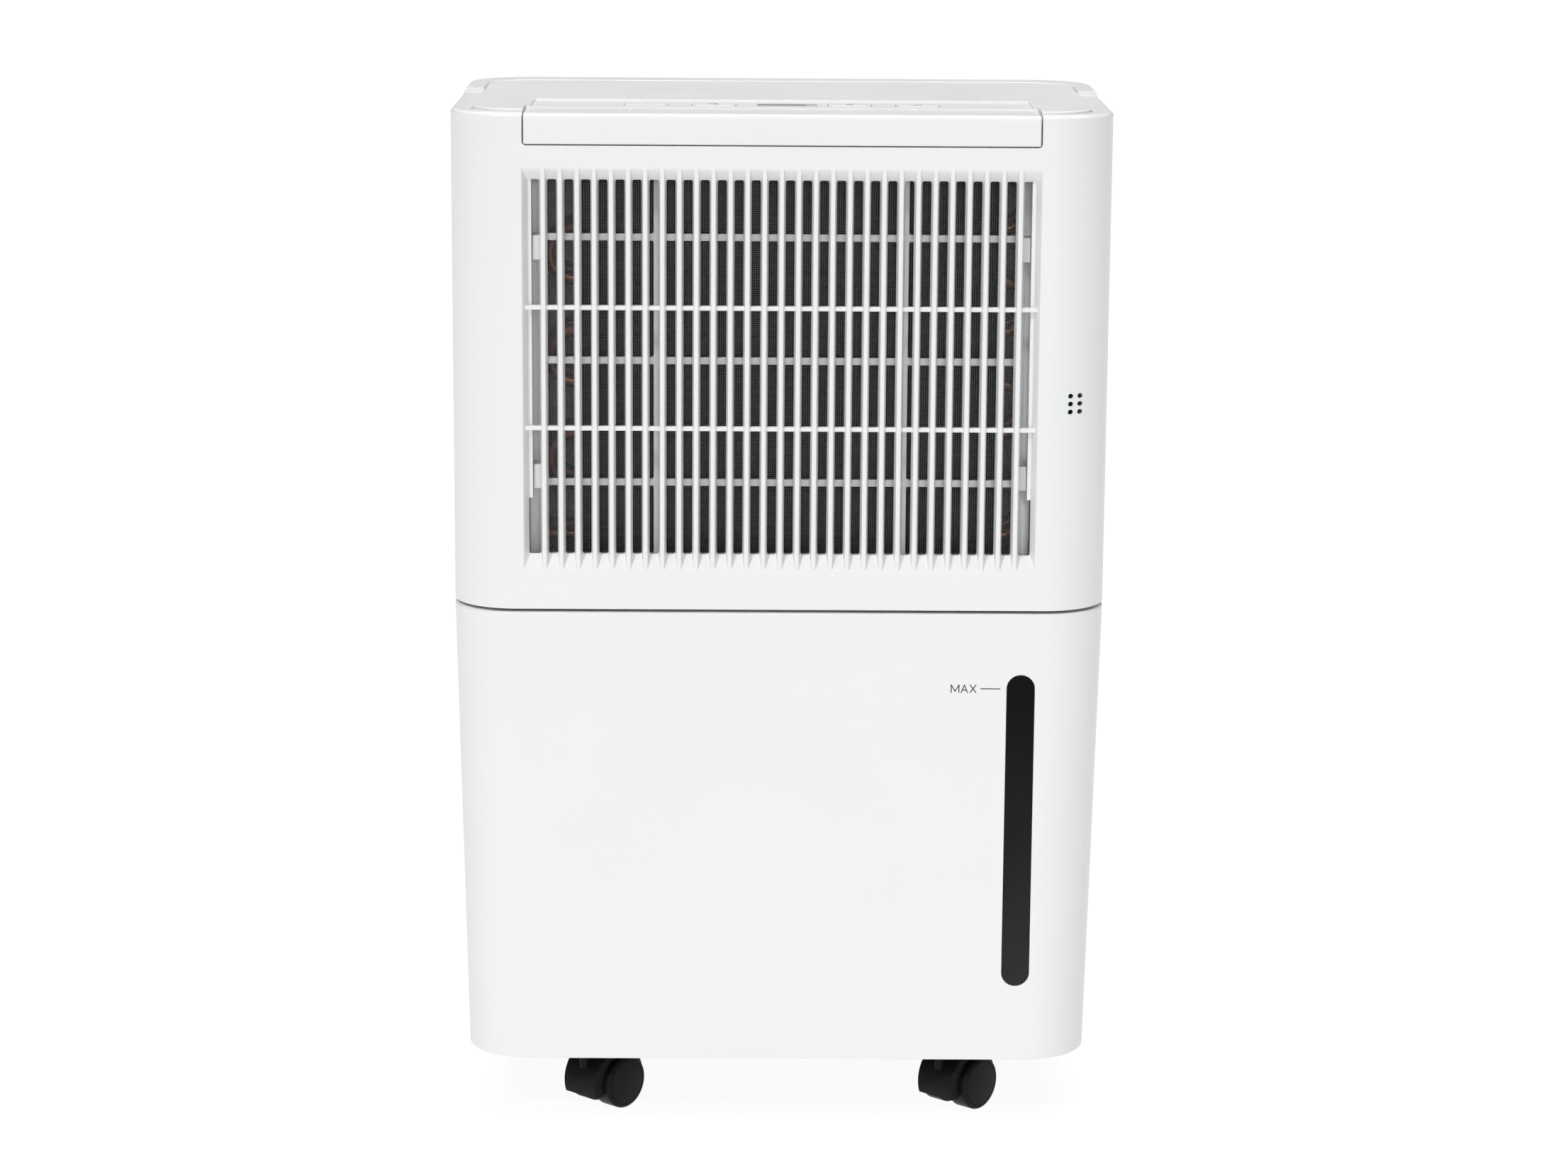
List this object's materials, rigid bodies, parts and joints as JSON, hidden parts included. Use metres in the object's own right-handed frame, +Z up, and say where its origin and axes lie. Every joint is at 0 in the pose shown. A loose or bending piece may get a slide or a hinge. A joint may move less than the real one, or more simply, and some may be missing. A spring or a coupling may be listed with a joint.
{
  "type": "dehumidifier",
  "caption": "Portable compressor dehumidifier with a front grille and lift-out filter, a pull-out water tank with a level window, top buttons and swivel casters.",
  "frame": {"origin": "on the floor under the middle of the body, between the casters", "axes": "+Z up, -Y out of the front grille, +X to the right as seen from the front"},
  "size_m": [0.32, 0.195, 0.5056],
  "materials": {
    "white_shell": "satin moulded ABS",
    "light_grey_panel": "fine matt moulded ABS",
    "inner_white": "plain moulded polypropylene",
    "black_plastic": "fine grained matt nylon",
    "smoke_lens": "smoked transparent lens",
    "bucket_plastic": "translucent polypropylene",
    "filter_netting": "woven nylon net",
    "coated_fins": "dark blue hydrophilic coating",
    "bare_fins": "bare fin stock",
    "copper": "drawn copper tube, lightly tarnished",
    "steel": "ground rod",
    "zinc_sheet": "galvanised sheet",
    "dark_paint": "satin black enamel",
    "rubber": "matt moulded rubber",
    "circuit_board": "green solder resist",
    "display_pane": "grey display lens"
  },
  "bodies": {
    "cabinet": {"front_shell": "white_shell", "rear_shell": "white_shell", "top_plate": "light_grey_panel", "chassis": "inner_white", "drip_tray": "inner_white", "fan_shroud": "inner_white", "base_pan": "black_plastic", "electronics_box": "black_plastic", "evaporator_core": "coated_fins", "condenser_core": "bare_fins", "evaporator_tube": "copper", "condenser_tube": "copper", "discharge_pipe": "copper", "suction_pipe": "copper", "liquid_line": "copper", "coil_end_plate_left": "zinc_sheet", "coil_end_plate_right": "zinc_sheet", "fan_motor": "zinc_sheet", "motor_bracket": "zinc_sheet", "compressor": "dark_paint", "accumulator": "dark_paint", "compressor_foot_1": "rubber", "compressor_foot_2": "rubber", "compressor_foot_3": "rubber", "cable_gland": "rubber", "control_board": "circuit_board", "humidity_sensor": "circuit_board", "display_window": "display_pane"},
    "tank": {"tank_cover": "white_shell", "level_window": "smoke_lens", "tank_bucket": "bucket_plastic", "tank_lid": "inner_white"},
    "tank_handle": {"tank_handle": "inner_white"},
    "tank_float": {"tank_float": "inner_white"},
    "filter": {"filter_frame": "inner_white", "filter_mesh": "filter_netting", "filter_grip_bar": "white_shell"},
    "button_power": {"button_power": "light_grey_panel"},
    "button_timer": {"button_timer": "light_grey_panel"},
    "button_humidity": {"button_humidity": "light_grey_panel"},
    "button_mode": {"button_mode": "light_grey_panel"},
    "fan": {"fan_wheel": "black_plastic", "fan_shaft": "steel"},
    "drain_plug": {"drain_plug": "rubber"},
    "swivel_front_left": {"caster_hood_front_left": "black_plastic", "caster_axle_front_left": "steel"},
    "wheel_front_left_a": {"caster_wheel_front_left_a": "black_plastic"},
    "wheel_front_left_b": {"caster_wheel_front_left_b": "black_plastic"},
    "swivel_front_right": {"caster_hood_front_right": "black_plastic", "caster_axle_front_right": "steel"},
    "wheel_front_right_a": {"caster_wheel_front_right_a": "black_plastic"},
    "wheel_front_right_b": {"caster_wheel_front_right_b": "black_plastic"},
    "swivel_rear_left": {"caster_hood_rear_left": "black_plastic", "caster_axle_rear_left": "steel"},
    "wheel_rear_left_a": {"caster_wheel_rear_left_a": "black_plastic"},
    "wheel_rear_left_b": {"caster_wheel_rear_left_b": "black_plastic"},
    "swivel_rear_right": {"caster_hood_rear_right": "black_plastic", "caster_axle_rear_right": "steel"},
    "wheel_rear_right_a": {"caster_wheel_rear_right_a": "black_plastic"},
    "wheel_rear_right_b": {"caster_wheel_rear_right_b": "black_plastic"}
  },
  "joints": [
    {"name": "tank_slide", "type": "slide", "parent": "cabinet", "child": "tank", "axis": [0, -1, 0], "range_m": [0, 0.15]},
    {"name": "tank_handle_pivot", "type": "hinge", "parent": "tank", "child": "tank_handle", "pos_m": [0, -0.078, 0.235], "axis": [1, 0, 0], "range_deg": [0, 90]},
    {"name": "tank_float_pivot", "type": "hinge", "parent": "tank", "child": "tank_float", "pos_m": [0.111, -0.026, 0.211], "axis": [-1, 0, 0], "range_deg": [0, 14]},
    {"name": "filter_slide", "type": "slide", "parent": "cabinet", "child": "filter", "axis": [0, 0, 1], "range_m": [0, 0.21]},
    {"name": "power_press", "type": "slide", "parent": "cabinet", "child": "button_power", "axis": [0, 0, -1], "range_m": [0, 0.0012], "stiffness_N_per_m": 600, "springref_m": -0.0012},
    {"name": "timer_press", "type": "slide", "parent": "cabinet", "child": "button_timer", "axis": [0, 0, -1], "range_m": [0, 0.0012], "stiffness_N_per_m": 600, "springref_m": -0.0012},
    {"name": "humidity_press", "type": "slide", "parent": "cabinet", "child": "button_humidity", "axis": [0, 0, -1], "range_m": [0, 0.0012], "stiffness_N_per_m": 600, "springref_m": -0.0012},
    {"name": "mode_press", "type": "slide", "parent": "cabinet", "child": "button_mode", "axis": [0, 0, -1], "range_m": [0, 0.0012], "stiffness_N_per_m": 600, "springref_m": -0.0012},
    {"name": "fan_spin", "type": "hinge", "parent": "cabinet", "child": "fan", "pos_m": [0.004, 0.01, 0.383], "axis": [0, 1, 0], "continuous": true},
    {"name": "drain_plug_pull", "type": "slide", "parent": "cabinet", "child": "drain_plug", "axis": [0, 1, 0], "range_m": [0, 0.012]},
    {"name": "swivel_front_left", "type": "hinge", "parent": "cabinet", "child": "swivel_front_left", "pos_m": [-0.0895, -0.068, 0.0335], "axis": [0, 0, 1], "continuous": true},
    {"name": "roll_front_left_a", "type": "hinge", "parent": "swivel_front_left", "child": "wheel_front_left_a", "pos_m": [-0.08615, -0.06428, 0.0135], "axis": [0.7431, -0.6691, 0], "continuous": true},
    {"name": "roll_front_left_b", "type": "hinge", "parent": "swivel_front_left", "child": "wheel_front_left_b", "pos_m": [-0.08615, -0.06428, 0.0135], "axis": [0.7431, -0.6691, 0], "continuous": true},
    {"name": "swivel_front_right", "type": "hinge", "parent": "cabinet", "child": "swivel_front_right", "pos_m": [0.0895, -0.068, 0.0335], "axis": [0, 0, 1], "continuous": true},
    {"name": "roll_front_right_a", "type": "hinge", "parent": "swivel_front_right", "child": "wheel_front_right_a", "pos_m": [0.09285, -0.06428, 0.0135], "axis": [0.7431, -0.6691, 0], "continuous": true},
    {"name": "roll_front_right_b", "type": "hinge", "parent": "swivel_front_right", "child": "wheel_front_right_b", "pos_m": [0.09285, -0.06428, 0.0135], "axis": [0.7431, -0.6691, 0], "continuous": true},
    {"name": "swivel_rear_left", "type": "hinge", "parent": "cabinet", "child": "swivel_rear_left", "pos_m": [-0.0895, 0.068, 0.0335], "axis": [0, 0, 1], "continuous": true},
    {"name": "roll_rear_left_a", "type": "hinge", "parent": "swivel_rear_left", "child": "wheel_rear_left_a", "pos_m": [-0.08615, 0.07172, 0.0135], "axis": [0.7431, -0.6691, 0], "continuous": true},
    {"name": "roll_rear_left_b", "type": "hinge", "parent": "swivel_rear_left", "child": "wheel_rear_left_b", "pos_m": [-0.08615, 0.07172, 0.0135], "axis": [0.7431, -0.6691, 0], "continuous": true},
    {"name": "swivel_rear_right", "type": "hinge", "parent": "cabinet", "child": "swivel_rear_right", "pos_m": [0.0895, 0.068, 0.0335], "axis": [0, 0, 1], "continuous": true},
    {"name": "roll_rear_right_a", "type": "hinge", "parent": "swivel_rear_right", "child": "wheel_rear_right_a", "pos_m": [0.09285, 0.07172, 0.0135], "axis": [0.7431, -0.6691, 0], "continuous": true},
    {"name": "roll_rear_right_b", "type": "hinge", "parent": "swivel_rear_right", "child": "wheel_rear_right_b", "pos_m": [0.09285, 0.07172, 0.0135], "axis": [0.7431, -0.6691, 0], "continuous": true}
  ]
}
